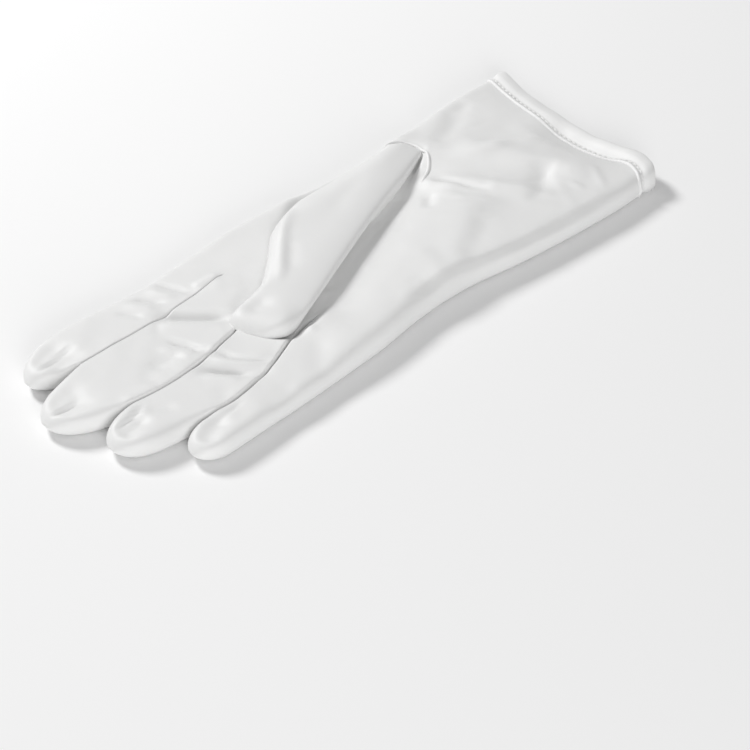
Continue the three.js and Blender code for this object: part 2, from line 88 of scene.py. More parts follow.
OUTLINE = table(
    "at little ring middle index thumb",
    (0, -0.583, -0.295, -0.045, 0.224, 0.467),
    (0.08, -0.601, -0.295, -0.045, 0.205, 0.442),
    (0.2, -0.599, -0.295, -0.051, 0.192, 0.409),
    (0.3, -0.582, -0.295, -0.057, 0.176, 0.378),
    (0.4, -0.548, -0.284, -0.068, 0.159, 0.368),
    (0.49, -0.561, -0.295, -0.08, 0.148, 0.376),
    (0.57, -0.6, -0.307, -0.091, 0.142, 0.376),
    (0.63, -0.617, -0.316, -0.109, 0.135, 0.359),
    (0.67, -0.627, -0.365, -0.13, 0.131, 0.349),
    (0.73, -0.64, -0.44, -0.185, 0.114, 0.328),
    (0.79, -0.649, -0.485, -0.228, 0.1, 0.331),
    (0.86, -0.661, -0.483, -0.243, 0.095, 0.341),
    (0.93, -0.661, -0.466, -0.225, 0.091, 0.33),
    (1, -0.661, -0.466, -0.21, 0.091, 0.314),
)
EDGES = ["little", "ring", "middle", "index", "thumb"]
FINGERS = [
    dict(name="little", reach=0.897, crotch=0, lean=0.45, bluntness=0.8, gap=0, groove=0),
    dict(name="ring", reach=0.966, crotch=0.626, lean=0.5, bluntness=0.8, gap=0.4, groove=1.1),
    dict(name="middle", reach=1, crotch=0.67, lean=0.5, bluntness=0.95, gap=0.3, groove=0.8),
    dict(name="index", reach=0.967, crotch=0.67, lean=0.42, bluntness=1.1, gap=0.03, groove=0.15),
]
MOUTH = table(
    "at upper lower",
    (0, 0.033, 0.033),
    (0.05, 0.023, 0.018),
    (0.12, 0.016, 0.014),
    (0.25, 0.021, 0.013),
    (0.5, 0.023, 0.012),
    (0.75, 0.018, 0.01),
    (0.87, 0.01, 0.007),
    (1, 0, 0),
)
LOFT = table("at loft", (0, 0.84), (0.12, 0.95), (0.35, 1), (0.55, 0.93), (0.68, 0.86))
THUMB_SECTIONS = table(
    "at near far top far_round",
    (0, -0.12, 0.1, -0.1, 0.1),
    (0.04, -0.16, 0.24, 0.5, 0.2),
    (0.1, -0.19, 0.34, 0.8, 0.3),
    (0.21, -0.2, 0.53, 0.95, 0.5),
    (0.3, -0.18, 0.68, 1, 0.6),
    (0.39, -0.16, 0.82, 1, 0.6),
    (0.46, -0.15, 0.88, 1, 0.45),
    (0.59, -0.14, 0.88, 0.97, 0.24),
    (0.71, -0.135, 0.71, 0.93, 0.18),
    (0.82, -0.13, 0.59, 0.88, 0.16),
    (0.88, -0.12, 0.62, 0.84, 0.18),
    (0.94, -0.08, 0.68, 0.8, 0.2),
    (0.975, 0.01, 0.67, 0.77, 0.2),
    (1, 0.19, 0.52, 0.74, 0.2),
)
print("the cut:", GLOVE_LENGTH, "mm long,", PALM_WIDTH, "mm across the palm,", len(FINGERS), "fingers")

# %% [markdown]
# ## Folds as strokes
# Cloth shows its folds as soft ridges and valleys with an end, much like strokes of a brush. A cloth
# simulation makes such folds, but not at chosen places. Here each fold is a stroke instead: a path, how high
# it rises or sinks, and how far it spreads. Adding up the strokes gives the height of the silk anywhere.

# %% Curves and easing
BULGE_POWER = 2.6


def clamp(value):
    return np.clip(value, 0.0, 1.0)


def mix(a, b, share):
    """From a at share 0 to b at share 1."""
    return a + (b - a) * share


def ease(value, start, end):
    """From 0 at the start to 1 at the end, slow at both."""
    share = clamp((value - start) / (end - start))
    return share * share * (3 - 2 * share)


def bulge(share):
    """From 0 to 1 as a rounded edge rises: steep at first, then level."""
    return np.sqrt(1 - (1 - clamp(share)) ** BULGE_POWER)


def read(rows, column, at):
    """A table's column on a smooth curve through its rows."""
    places, values = rows["at"], rows[column]
    slopes = np.empty_like(values)
    slopes[1:-1] = (values[2:] - values[:-2]) / (places[2:] - places[:-2])
    slopes[0] = (values[1] - values[0]) / (places[1] - places[0])
    slopes[-1] = (values[-1] - values[-2]) / (places[-1] - places[-2])
    at = np.clip(at, places[0], places[-1])
    i = np.clip(np.searchsorted(places, at), 1, len(places) - 1) - 1
    span = places[i + 1] - places[i]
    t = (at - places[i]) / span
    rise = values[i] * (1 + 2 * t) * (1 - t) ** 2 + slopes[i] * span * t * (1 - t) ** 2
    return rise + values[i + 1] * t * t * (3 - 2 * t) - slopes[i + 1] * span * t * t * (1 - t)


def smooth_path(points, steps=8):
    """The points of a path, with more of them on a smooth curve through them."""
    p = np.array(points, float)
    p = np.vstack([2 * p[0] - p[1], p, 2 * p[-1] - p[-2]])
    out = []
    for i in range(1, len(p) - 2):
        for t in np.arange(steps) / steps:
            out.append(0.5 * (2 * p[i] + (p[i + 1] - p[i - 1]) * t
                              + (2 * p[i - 1] - 5 * p[i] + 4 * p[i + 1] - p[i + 2]) * t ** 2
                              + (3 * p[i] - p[i - 1] - 3 * p[i + 1] + p[i + 2]) * t ** 3))
    return np.array(out + [p[-2]])


print("a rounded edge rises over its width as", bulge(np.linspace(0, 1, 5)).round(2))

# %% Strokes
FAR_AWAY = 1e9
SHORT_RUN = 0.2


def stroke(x, y, path, spread, fade=0.0):
    """1 on the path, falling off over the spread, and fading at its ends over a share of its length."""
    x, y = np.broadcast_arrays(np.asarray(x, float), np.asarray(y, float))
    nearest = np.full(x.shape, FAR_AWAY)
    along = np.zeros(x.shape)
    steps = np.diff(path, axis=0)
    lengths = np.hypot(steps[:, 0], steps[:, 1])
    run = 0.0
    for (ax, ay), (dx, dy), length in zip(path[:-1], steps, lengths):
        t = clamp(((x - ax) * dx + (y - ay) * dy) / length ** 2)
        away = np.hypot(x - ax - t * dx, y - ay - t * dy)
        closer = away < nearest
        nearest = np.where(closer, away, nearest)
        along = np.where(closer, run + t * length, along)
        run += length
    strength = np.exp(-(nearest / spread) ** 2)
    if fade:
        strength = strength * ease(along / run, 0, fade) * ease(1 - along / run, 0, fade)
    return strength


def folds(rows):
    """Strokes from rows of path, rise, spread and fade. A short wide one is round without a fade."""
    strokes = []
    for path, rise, spread, fade in rows:
        line = smooth_path(path) if len(path) > 2 else np.array(path, float)
        run = np.hypot(*np.diff(line, axis=0).T).sum()
        kept_fade = fade if spread < SHORT_RUN * run else 0
        strokes.append(dict(path=line, rise=rise, spread=spread, fade=kept_fade))
    return strokes


def fold_height(rows, x, y):
    """What all the strokes together add to the height of the silk."""
    return sum(row["rise"] * stroke(x, y, row["path"], row["spread"], row["fade"]) for row in rows)


one_fold = folds([([(0, 0), (0, 30)], 1, 4, 0.3)])
print("a stroke 1 mm high, on its path and 4 mm beside it:", fold_height(one_fold, [0, 4], [15, 15]).round(2))

# %% [markdown]
# ## The folds of this glove
# Folds could be sculpted by hand, but strokes with numbers can be moved one at a time. The large ones are
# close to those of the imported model, some of them narrower. The fine ones were read from the photograph:
# where each starts, bends and ends, in millimetres from the glove's axis and from its mouth.

# %% Large and fine folds
def large(across, along, to_across, to_along, rise, spread, fade=0.0):
    """A fold in shares of the glove, from one place to another."""
    path = [(across * PALM_WIDTH, along * GLOVE_LENGTH), (to_across * PALM_WIDTH, to_along * GLOVE_LENGTH)]
    return (path, rise * PALM_LOFT, spread * PALM_WIDTH, fade)


LARGE_FOLDS = folds([
    large(0.3, 0, -0.15, 0.02, -0.3, 0.2),  # the mouth sags
    large(0.2, 0.085, -0.45, 0.068, -0.12, 0.05, 0.45),  # valley before the hem
    large(0.35, 0.21, 0.11, 0.12, -0.2, 0.1),  # hollow of the cuff
    large(0.07, 0.19, -0.35, 0.12, 0.16, 0.075),  # ridge of the cuff
    large(0.02, 0.29, -0.38, 0.2, 0.2, 0.05),  # ridge beside the thumb's seam
    large(0.06, 0.29, -0.23, 0.24, -0.1, 0.03, 0.2),  # crease beside the thumb's seam
    large(-0.205, 0.14, -0.44, 0.22, -0.14, 0.05, 0.2),  # dent of the cuff
    large(-0.24, 0.3, -0.53, 0.42, 0.14, 0.1),  # ridge along the little finger's side
    large(0.06, 0.3, -0.32, 0.57, -0.26, 0.11),  # valley beside the thumb
    large(-0.43, 0.45, -0.5, 0.6, 0.1, 0.12),  # swell of the palm
    large(0.09, 0.76, -0.07, 0.7, -0.13, 0.035),  # crease of the knuckle
    large(-0.28, 0.79, -0.43, 0.74, -0.12, 0.035),  # crease before the ring finger
])
FINE_FOLDS = folds([
    # The palm, the cuff and the hem.
    ([(10, 84), (2, 105), (-7, 130), (-17, 150), (-21, 159)], -2.6, 4.2, 0.15),
    ([(-29, 78), (-36, 90), (-44, 105)], -0.8, 4.5, 0.3),
    ([(14, 94), (7, 100), (-1, 116)], -0.6, 3.0, 0.3),
    ([(33, 28), (25, 45), (18, 60)], -0.9, 4.0, 0.15),
    ([(-24, 41), (-38, 46)], 0.25, 2.6, 0.3),
    ([(-53, 207), (-52, 201)], -0.6, 4.0, 0),
    ([(-42, 176), (-50, 183)], -0.6, 4.0, 0),
    ([(5, 79), (-4, 74), (-12, 71), (-21, 67)], -1.2, 1.3, 0.35),
    ([(-3, 82), (-8, 81), (-16, 77), (-27, 69)], 0.5, 2.2, 0.3),
    ([(-51, 32), (-51, 52), (-50, 72), (-48, 91), (-46, 110), (-46, 125), (-47, 141)], -0.9, 1.1, 0.15),
    ([(8, 14.5), (-8, 14.5), (-18, 14.5), (-30, 13.5), (-44, 12)], -2.6, 4.8, 0.3),
    ([(11, 65), (2, 52), (-3, 35), (-13, 22)], 0.9, 3.6, 0.3),
    ([(-29, 179), (-32, 172)], 1.6, 2.2, 0.2),
    ([(-34, 41), (-43, 40)], 0.5, 1.8, 0.3),
    ([(-31, 25), (-42, 31), (-48, 35)], 0.5, 1.8, 0.3),
    ([(-5, 86), (-8, 89)], -1.1, 2.2, 0),
    # The fingers, from the index finger to the little one.
    ([(27, 197), (20, 193), (12, 189)], -1.1, 1.1, 0.35),
    ([(26, 201), (19, 198), (13, 194)], 0.7, 1.5, 0.35),
    ([(25, 209), (20, 204), (13, 199)], -1.1, 1.1, 0.35),
    ([(24, 213), (18, 208), (12, 204)], 0.6, 1.5, 0.35),
    ([(22, 218), (17, 213), (12, 211)], -0.8, 1.3, 0.35),
    ([(14, 185), (13, 178)], 1.0, 1.8, 0.3),
    ([(12, 206), (1, 197), (-8, 185)], -1.2, 1.7, 0.3),
    ([(9, 211), (-2, 201), (-10, 190)], 0.7, 2.2, 0.3),
    ([(-3, 214), (-9, 210), (-16, 208)], -1.5, 1.1, 0.25),
    ([(-15, 208), (-16, 207)], -0.9, 1.8, 0),
    ([(-4, 219), (-10, 215), (-17, 213)], 0.7, 1.6, 0.3),
    ([(-11, 224), (-11, 216)], -1.1, 2.8, 0),
    ([(-16, 205), (-28, 201), (-38, 190)], -1.2, 1.2, 0.3),
    ([(-18, 209), (-28, 205), (-38, 195)], 0.8, 1.5, 0.3),
    ([(-23, 214), (-32, 206), (-38, 203)], -1.3, 1.1, 0.3),
    ([(-25, 218), (-33, 211), (-38, 208)], 0.7, 1.5, 0.3),
    ([(-22, 208), (-30, 199), (-36, 190)], 0.4, 2.0, 0.35),
    ([(-28, 240), (-31, 236)], -0.7, 2.4, 0),
])
print("folds:", len(LARGE_FOLDS), "large and", len(FINE_FOLDS), "fine")

# %% [markdown]
# ## The surface of the hand
# Any point of the silk is found from four things: which finger's share of the width it is in, how far across
# that share, how far along the glove, and whether it is on the upper or the lower layer. The two layers meet
# at the sides in a rounded edge. A lattice bent into shape would do too, but it has no seams of its own.
# Before a crotch, the line between two fingers is a groove that deepens.

# %% Sides of the fingers
PARTING_RUN = 10
NARROWEST_TIP = 0.15
GROOVE_RUN_ABOVE, GROOVE_RUN_BELOW = 7, 10
# The groove gives way to a rounded side between these distances from the shorter finger's end.
GROOVE_FADES, GROOVE_ENDS = 20, 3


def finger_sides(finger, y):
    """The finger's two sides at that place along the glove, and how long its tip's rounding is."""
    def line(edge):
        return PALM_WIDTH * read(OUTLINE, EDGES[edge], y / GLOVE_LENGTH)

    def parted(beside):
        crotch = beside["crotch"] * GLOVE_LENGTH
        return 0.5 * beside["gap"] * ease(y, crotch, crotch + PARTING_RUN)

    cut = FINGERS[finger]
    left = line(finger) + parted(cut)
    right = line(finger + 1) - (parted(FINGERS[finger + 1]) if finger + 1 < len(FINGERS) else 0)
    rounding = cut["bluntness"] * (right - left)
    beyond = clamp((y - cut["reach"] * GLOVE_LENGTH) / rounding + 1)
    narrow = np.maximum(np.sqrt(1 - beyond ** 2), NARROWEST_TIP)
    centre = mix(left, right, cut["lean"])
    return mix(centre, left, narrow), mix(centre, right, narrow), rounding


def mouth_setback(x, layer):
    """How far the mouth's edge is drawn back, because it is cut in a curve."""
    low, high = OUTLINE["little"][0] * PALM_WIDTH, OUTLINE["thumb"][0] * PALM_WIDTH
    return GLOVE_LENGTH * read(MOUTH, layer, (x - low) / (high - low))


def beside_line(line, inside, y, rounding, upper):
    """How full the silk stands at that distance from a line between fingers or from the hand's own side."""
    if line in (0, len(FINGERS)):
        return bulge(inside / rounding)
    crotch = FINGERS[line]["crotch"] * GLOVE_LENGTH
    shorter = min(FINGERS[line - 1]["reach"], FINGERS[line]["reach"]) * GLOVE_LENGTH
    turn = mix(FINGERS[line]["groove"], rounding, ease(y, shorter - GROOVE_FADES, shorter - GROOVE_ENDS))
    start = crotch - (GROOVE_RUN_ABOVE if upper else GROOVE_RUN_BELOW)
    return mix(1, bulge(inside / turn), ease(y, start, crotch))


across_palm = [float(side) for side in finger_sides(3, 0.5 * GLOVE_LENGTH)[:2]]
print("the index finger's share of the palm, in mm:", [round(side, 1) for side in across_palm])

# %% [markdown]
# ## The bed under the thumb
# The thumb presses the palm flat beneath it. A boolean cut would leave a hard edge and a hole in the cloth. A
# mask says instead where the palm is held down. It fades out softly beside the thumb, widest at the root.

# %% The thumb's bed
BED_SLOPE_NEAR, BED_SLOPE_FAR, BED_UNDERCUT = (0.06, 0.2), (0.3, 0.02), 0.14
BED_WIDENS, BED_NARROWS = (0.1, 0.35), (0.3, 0.52)
BED_START, BED_END = (0, 0.1), (0.96, 1.01)


def thumb_axes(x, y):
    """How far a place is along the thumb and across it, as shares of its length and its width."""
    dx, dy = x - THUMB_START[0], y - THUMB_START[1]
    along = (-dx * math.sin(THUMB_TILT) + dy * math.cos(THUMB_TILT)) / THUMB_LENGTH
    across = (dx * math.cos(THUMB_TILT) + dy * math.sin(THUMB_TILT)) / THUMB_WIDTH
    return along, across


def under_thumb(x, y):
    """1 where the thumb presses the palm down, 0 clear of it."""
    along, across = thumb_axes(x, y)
    near, far = read(THUMB_SECTIONS, "near", along), read(THUMB_SECTIONS, "far", along)
    beside = mix(*BED_SLOPE_NEAR, ease(along, *BED_WIDENS))
    lower = ease(along, *BED_NARROWS)
    sideways = ease(across, near - beside, near)
    sideways = sideways * (1 - ease(across, far - BED_UNDERCUT * lower, far + mix(*BED_SLOPE_FAR, lower)))
    return sideways * ease(along, *BED_START) * (1 - ease(along, *BED_END))


print("pressed down on the thumb's line:", under_thumb(*np.array(THUMB_START) + [-20, 60]).round(2))

# %% [markdown]
# ## One point of the silk
# Four finger tubes joined to a palm would leave an edge at each root. One function for the whole hand leaves
# none: it knows the sides, the folds and the thumb's bed, and the hem later asks it for the same surface.

# %% Points of the hand
MOUTH_REACH = 0.25
FINGERS_START = (0.6, 0.72)
TIP_DEPTH = 10


def hand_point(finger, share, y, upper):
    """A point of the silk: the finger, the share across it, the place along and the layer."""
    left, right, _ = finger_sides(finger, y)
    x = mix(left, right, share)
    setback = mouth_setback(x, "upper" if upper else "lower")
    moved = y + setback * (1 - ease(y, 0, MOUTH_REACH * GLOVE_LENGTH))
    in_finger = ease(y / GLOVE_LENGTH, *FINGERS_START)
    rounding = mix(EDGE_ROUND, FINGER_ROUND, in_finger) if upper else SOLE_ROUND
    fullness = beside_line(finger, x - left, y, rounding, upper)
    fullness = fullness * beside_line(finger + 1, right - x, y, rounding, upper)
    fullness = fullness * bulge((FINGERS[finger]["reach"] * GLOVE_LENGTH - y) / TIP_DEPTH)
    full = mix(PALM_LOFT * read(LOFT, "loft", y / GLOVE_LENGTH), FINGER_LOFT, in_finger)
    middle = SEAM_HEIGHT * full
    if not upper:
        return np.stack([x, moved, middle * (1 - fullness)], -1)
    folded = full + fold_height(LARGE_FOLDS, x, moved) + fold_height(FINE_FOLDS, x, moved)
    folded = folded + tip_height(x, y) + crumple(x, moved)
    height = mix(folded, np.minimum(folded, THUMB_BED), under_thumb(x, moved))
    return np.stack([x, moved, middle + (height - middle) * fullness], -1)


# %% [markdown]
# ## Fallen fingertips and the small unevenness of silk
# Nothing fills the fingertips, so each has fallen in along a crease that runs back from its end, with a soft
# dent beside it. Thin cloth is also never quite even. A noise texture could say so, but short faint strokes
# in the direction of the pull look more like silk, and a fixed seed keeps them in place.

# %% Fingertips and crumples
TIP_CREASES = folds([
    ([(15, 258), (16, 250), (18, 238)], -1.6, 0.85, 0.3),
    ([(-6, 269), (-7, 263), (-6, 253)], -1.8, 0.85, 0.3),
    ([(-28, 258), (-27, 251), (-24, 240)], -1.4, 0.85, 0.3),
    ([(-48, 231), (-47, 222), (-46, 214)], -0.7, 0.9, 0.3),
])
TIP_DENTS = folds([
    ([(20, 252), (21, 246)], -1.3, 4.0, 0),
    ([(12, 250), (14, 243)], -0.9, 3.2, 0),
    ([(-3, 262), (-2, 256)], -1.4, 4.0, 0),
    ([(-9, 262), (-9, 256)], -0.9, 3.0, 0),
    ([(-31, 254), (-30, 248)], -1.6, 2.8, 0),
    ([(-51, 235), (-49, 229)], -1.8, 3.8, 0),
])
SEED = 7
CRUMPLES = 260
CRUMPLED_ACROSS, CRUMPLED_ALONG = (-56, 36), (14, 262)
CRUMPLE_LENGTH, CRUMPLE_RISE, CRUMPLE_SPREAD, CRUMPLE_FADE = (5, 18), 0.17, (1.4, 4.2), 0.35
# The direction of the pull, in degrees, in the palm and beyond its end.
PULL_IN_PALM, PULL_IN_FINGERS, PULL_SPREAD = 105, 120, 28
PALM_END = 150


def tip_height(x, y):
    return fold_height(TIP_CREASES, x, y) + fold_height(TIP_DENTS, x, y)


def make_crumples():
    draw = np.random.default_rng(SEED)
    rows = []
    for _ in range(CRUMPLES):
        x, y = draw.uniform(*CRUMPLED_ACROSS), draw.uniform(*CRUMPLED_ALONG)
        pull = PULL_IN_PALM if y < PALM_END else PULL_IN_FINGERS
        turn = math.radians(draw.normal(pull, PULL_SPREAD))
        length = draw.uniform(*CRUMPLE_LENGTH)
        end = (x + length * math.cos(turn), y + length * math.sin(turn))
        rise, spread = draw.normal(0, CRUMPLE_RISE), draw.uniform(*CRUMPLE_SPREAD)
        rows.append(([(x, y), end], rise, spread, CRUMPLE_FADE))
    return folds(rows)


crumple_rows = make_crumples()


def crumple(x, y):
    return fold_height(crumple_rows, x, y)


print("crumples:", len(crumple_rows))

# %% [markdown]
# ## From a sheet of points to sewn cloth
# Blender's Solidify modifier can thicken a sheet, but where two pieces meet along a seam each would be
# thickened by itself and the seam would show as a step. So the whole hand is one sheet first, its normals are
# worked out once, and every piece is then cut out of it with those normals: an outer face, an inner face one
# cloth's thickness in, and a rim along its cut edges.

# %% Sheets and pieces
SILK = 0.6
WELD_REACH, SHORTEST_EDGE = 0.002, 0.00001
# From the pattern's place to the frame's. It is measured once the hand is woven.
shift = Vector((0.0, 0.0, 0.0))


class Sheet:
    """Points and four-sided faces, each face marked with the piece that it belongs to."""

    def __init__(self):
        self.points, self.faces, self.marks = [], [], []
        self.count = 0

    def add(self, grid, marks, upward):
        """A grid of points with a mark for each of its faces."""
        rows, columns = grid.shape[:2]
        number = self.count + np.arange(rows * columns).reshape(rows, columns)
        corners = [number[:-1, :-1], number[:-1, 1:], number[1:, 1:], number[1:, :-1]]
        quads = np.stack(corners, -1).reshape(-1, 4)
        self.points.append(grid.reshape(-1, 3))
        self.faces.append(quads if upward else quads[:, ::-1])
        self.marks.append(np.asarray(marks).reshape(-1))
        self.count += rows * columns

    def weld(self):
        """The sheet as one mesh: points that coincide are joined."""
        mesh = bpy.data.meshes.new("sheet")
        mesh.from_pydata(np.vstack(self.points).tolist(), [], np.vstack(self.faces).tolist())
        body = bmesh.new()
        body.from_mesh(mesh)
        piece = body.faces.layers.int.new("piece")
        for face, mark in zip(body.faces, np.concatenate(self.marks)):
            face[piece] = int(mark)
        bmesh.ops.remove_doubles(body, verts=body.verts, dist=WELD_REACH)
        bmesh.ops.dissolve_degenerate(body, edges=body.edges, dist=SHORTEST_EDGE)
        body.normal_update()
        body.verts.index_update()
        points = np.array([vert.co for vert in body.verts])
        normals = np.array([vert.normal for vert in body.verts])
        faces = [([vert.index for vert in face.verts], face[piece]) for face in body.faces]
        body.free()
        bpy.data.meshes.remove(mesh)
        return points, normals, faces


def cloth(name, welded, mark):
    """One piece of a welded sheet as closed cloth."""
    points, normals, faces = welded
    mine = [corners for corners, piece in faces if piece == mark]
    used = sorted({corner for corners in mine for corner in corners})
    place = {corner: i for i, corner in enumerate(used)}
    outer = points[used]
    inner = outer - SILK * normals[used]
    quads = [[place[corner] for corner in corners] for corners in mine]
    seen = {}
    for corners in quads:
        for i, start in enumerate(corners):
            end = corners[(i + 1) % len(corners)]
            if (end, start) in seen:
                del seen[(end, start)]
            else:
                seen[(start, end)] = True
    n = len(used)
    lining = [[corner + n for corner in reversed(corners)] for corners in quads]
    rim = [[end, start, start + n, end + n] for start, end in seen]
    all_normals = np.vstack([normals[used], -normals[used]])
    return make_piece(name, np.vstack([outer, inner]), quads + lining + rim, all_normals)


def face_centres(grid):
    return 0.25 * (grid[1:, 1:] + grid[:-1, 1:] + grid[1:, :-1] + grid[:-1, :-1])


def crowded(count, crowding):
    """Steps from 0 to 1 that crowd towards both ends."""
    even = np.linspace(0, 1, count + 1)
    return mix(even, 0.5 - 0.5 * np.cos(np.pi * even), crowding)


def make_piece(name, points, faces, normals=None):
    """A mesh object from points in the pattern's millimetres."""
    mesh = bpy.data.meshes.new(name)
    mesh.from_pydata([tuple(Vector(p) * MM + shift) for p in points], [], faces)
    mesh.shade_smooth()
    if normals is not None:
        mesh.normals_split_custom_set_from_vertices([tuple(n) for n in normals])
    piece = bpy.data.objects.new(name, mesh)
    bpy.context.scene.collection.objects.link(piece)
    return piece


print("the silk is", SILK, "mm thick")

# %% [markdown]
# ## The hand, cut into finger strips
# Each finger carries its own columns down the palm, so that the cloth's grain runs from the mouth to every
# fingertip. Columns crowd towards a finger's sides, where the silk turns over, and rows follow equal angles
# round the tips. The narrow strips beside the gaps are the fourchettes, pieces of their own on a real glove.

# %% Weave the hand
COLUMNS = 22
PALM_ROWS, ROOT_ROWS, FINGER_ROWS, TIP_ROWS = 150, 12, 62, 26
COLUMN_CROWDING = 0.8
# The hand starts this far under the hem's end, and a fourchette this far before its crotch.
UNDER_HEM, FOURCHETTE_START = 1.5, 8
STRIP = 0.06
# Marks of the faces: the hand, an opening, and from 1 on the fourchettes.
HAND, OPENING = 0, -1
OPENING_NEAR, OPENING_FAR, OPENING_START = 0.26, 0.06, 0.05
THUMB_MOUTH = 48

shares = crowded(COLUMNS, COLUMN_CROWDING)
root = FINGERS[3]["crotch"] * GLOVE_LENGTH
first_crotch = FINGERS[1]["crotch"] * GLOVE_LENGTH


def rows_of(finger):
    """The places along the glove where the finger's strip has its rows."""
    reach = FINGERS[finger]["reach"] * GLOVE_LENGTH
    rounding = float(finger_sides(finger, np.array(root))[2])
    turn = np.linspace(0, 0.5 * np.pi, TIP_ROWS + 1)[1:]
    return np.concatenate([
        np.linspace(HEM_DEPTH - UNDER_HEM, first_crotch, PALM_ROWS + 1),
        np.linspace(first_crotch, root, ROOT_ROWS + 1)[1:],
        np.linspace(root, reach - rounding, FINGER_ROWS + 1)[1:],
        reach - rounding * (1 - np.sin(turn)),
    ])


def in_thumb_opening(x, y):
    along, across = thumb_axes(x, y)
    near, far = read(THUMB_SECTIONS, "near", along), read(THUMB_SECTIONS, "far", along)
    inside = (across > near + OPENING_NEAR) & (across < far - OPENING_FAR)
    return inside & (along > OPENING_START) & (along < THUMB_MOUTH / THUMB_LENGTH)


def weave_hand():
    sheet = Sheet()
    middle_share = 0.5 * (shares[1:] + shares[:-1])
    for finger in range(len(FINGERS)):
        y = rows_of(finger)
        grid_y, grid_share = np.meshgrid(y, shares, indexing="ij")
        marks = np.full((len(y) - 1, COLUMNS), HAND)
        for line, beside in ((finger, middle_share < STRIP), (finger + 1, middle_share > 1 - STRIP)):
            if 0 < line < len(FINGERS):
                past = y[:-1] >= FINGERS[line]["crotch"] * GLOVE_LENGTH - FOURCHETTE_START
                past[-TIP_ROWS // 2:] = False
                marks[np.outer(past, beside)] = line
        for upper in (True, False):
            layer_marks = marks.copy()
            points = hand_point(finger, grid_share, grid_y, upper)
            if upper:
                centre = face_centres(points)
                layer_marks[in_thumb_opening(centre[..., 0], centre[..., 1])] = OPENING
            sheet.add(points, layer_marks, upper)
    return sheet.weld()


woven_hand = weave_hand()
hand_points = woven_hand[0]
hand_low, hand_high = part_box("hand")
left_most = hand_points[:, 0].min()
shift = Vector((hand_low[0] - left_most * MM, hand_high[1] - GLOVE_LENGTH * MM, 0.0))
print("the hand starts at", [round(c / MM, 1) for c in shift], "mm and has", len(hand_points), "points")

silk_hand = cloth("silk_hand", woven_hand, HAND)
fourchettes = [
    cloth(f"silk_fourchette_{FINGERS[line - 1]['name']}_{FINGERS[line]['name']}", woven_hand, line)
    for line in (1, 2, 3)
]
print("faces of the hand:", len(silk_hand.data.polygons))

# %% [markdown]
# ## The thumb
# The thumb is a flat tube sewn into an opening of the palm, so it has an upper and a lower face of its own.
# It lies folded over the palm. The hand could be one mesh with it, but the thumb then couldn't cross over the
# palm, so it is a second sheet that dips into the palm at its root.

# %% Weave the thumb
THUMB_ROWS, THUMB_COLUMNS = 120, 34
ROW_CROWDING, THUMB_CROWDING = 1.35, 0.6
THUMB_SINK, SINK_END = 2.6, (THUMB_MOUTH - 8, THUMB_MOUTH + 12)
LEAST_LOFT = 2
# The near side overhangs, with its seam high, up to the thumb's tip. The far side's seam is low.
SEAM_LOW, SEAM_HIGH, OVERHANG_WIDTH = 0.15, 0.62, 0.5
THUMB_TIP, THUMB_TIP_ROUND = (0.86, 0.96), 0.07
NEAR_ROUND, NEAR_ROUND_TIP, NEAR_ROUND_BELOW, FAR_ROUND_BELOW = 0.4, 0.15, 0.25, 0.1
THUMB_CREASES = folds([
    ([(25, 62), (22.5, 77), (17, 91), (12.5, 103), (11.5, 111)], 1.1, 2.2, 0.2),
    ([(18, 83), (13.5, 92), (9.5, 101)], -0.5, 3.2, 0.3),
    ([(13.5, 123), (12.5, 121)], -1.3, 3.8, 0),
    ([(2, 10), (6, 26), (12, 44), (16, 60)], 0.4, 3.5, 0.3),
    ([(8, 30), (9, 50), (8, 72)], -0.4, 4.0, 0.4),
])


def thumb_point(share, at, upper):
    """A point of the thumb's silk: the share across it, the share along it and the layer."""
    left = read(THUMB_SECTIONS, "near", at) * THUMB_WIDTH
    right = read(THUMB_SECTIONS, "far", at) * THUMB_WIDTH
    across = mix(left, right, share)
    along = at * THUMB_LENGTH
    bed = THUMB_BED + THUMB_CLEAR
    floor = mix(bed - THUMB_SINK, bed, ease(along, *SINK_END))
    top = bed + THUMB_LOFT * read(THUMB_SECTIONS, "top", at) + fold_height(THUMB_CREASES, across, along)
    in_tip = ease(at, *THUMB_TIP)
    overhang = (1 - ease(share, 0, OVERHANG_WIDTH)) * (1 - in_tip)
    middle = mix(floor, np.maximum(top, floor + LEAST_LOFT), mix(SEAM_LOW, SEAM_HIGH, overhang))
    near_round = (mix(NEAR_ROUND, NEAR_ROUND_TIP, in_tip) if upper else NEAR_ROUND_BELOW) * THUMB_WIDTH
    far_round = (read(THUMB_SECTIONS, "far_round", at) if upper else FAR_ROUND_BELOW) * THUMB_WIDTH
    fullness = bulge((across - left) / near_round) * bulge((right - across) / far_round)
    fullness = fullness * bulge((1 - at) / THUMB_TIP_ROUND)
    height = mix(middle, top if upper else floor, fullness)
    x = THUMB_START[0] - along * math.sin(THUMB_TILT) + across * math.cos(THUMB_TILT)
    y = THUMB_START[1] + along * math.cos(THUMB_TILT) + across * math.sin(THUMB_TILT)
    return np.stack([x, y, height], -1)


def weave_thumb():
    sheet = Sheet()
    at = 1 - (1 - np.linspace(0, 1, THUMB_ROWS + 1)) ** ROW_CROWDING
    grid_at, grid_share = np.meshgrid(at, crowded(THUMB_COLUMNS, THUMB_CROWDING), indexing="ij")
    for upper in (True, False):
        points = thumb_point(grid_share, grid_at, upper)
        marks = np.full((THUMB_ROWS, THUMB_COLUMNS), HAND)
        if not upper:
            centre = face_centres(points)
            marks[in_thumb_opening(centre[..., 0], centre[..., 1])] = OPENING
        sheet.add(points, marks, upper)
    return sheet.weld()


woven_thumb = weave_thumb()
silk_thumb = cloth("silk_thumb", woven_thumb, HAND)
print("faces of the thumb:", len(silk_thumb.data.polygons))

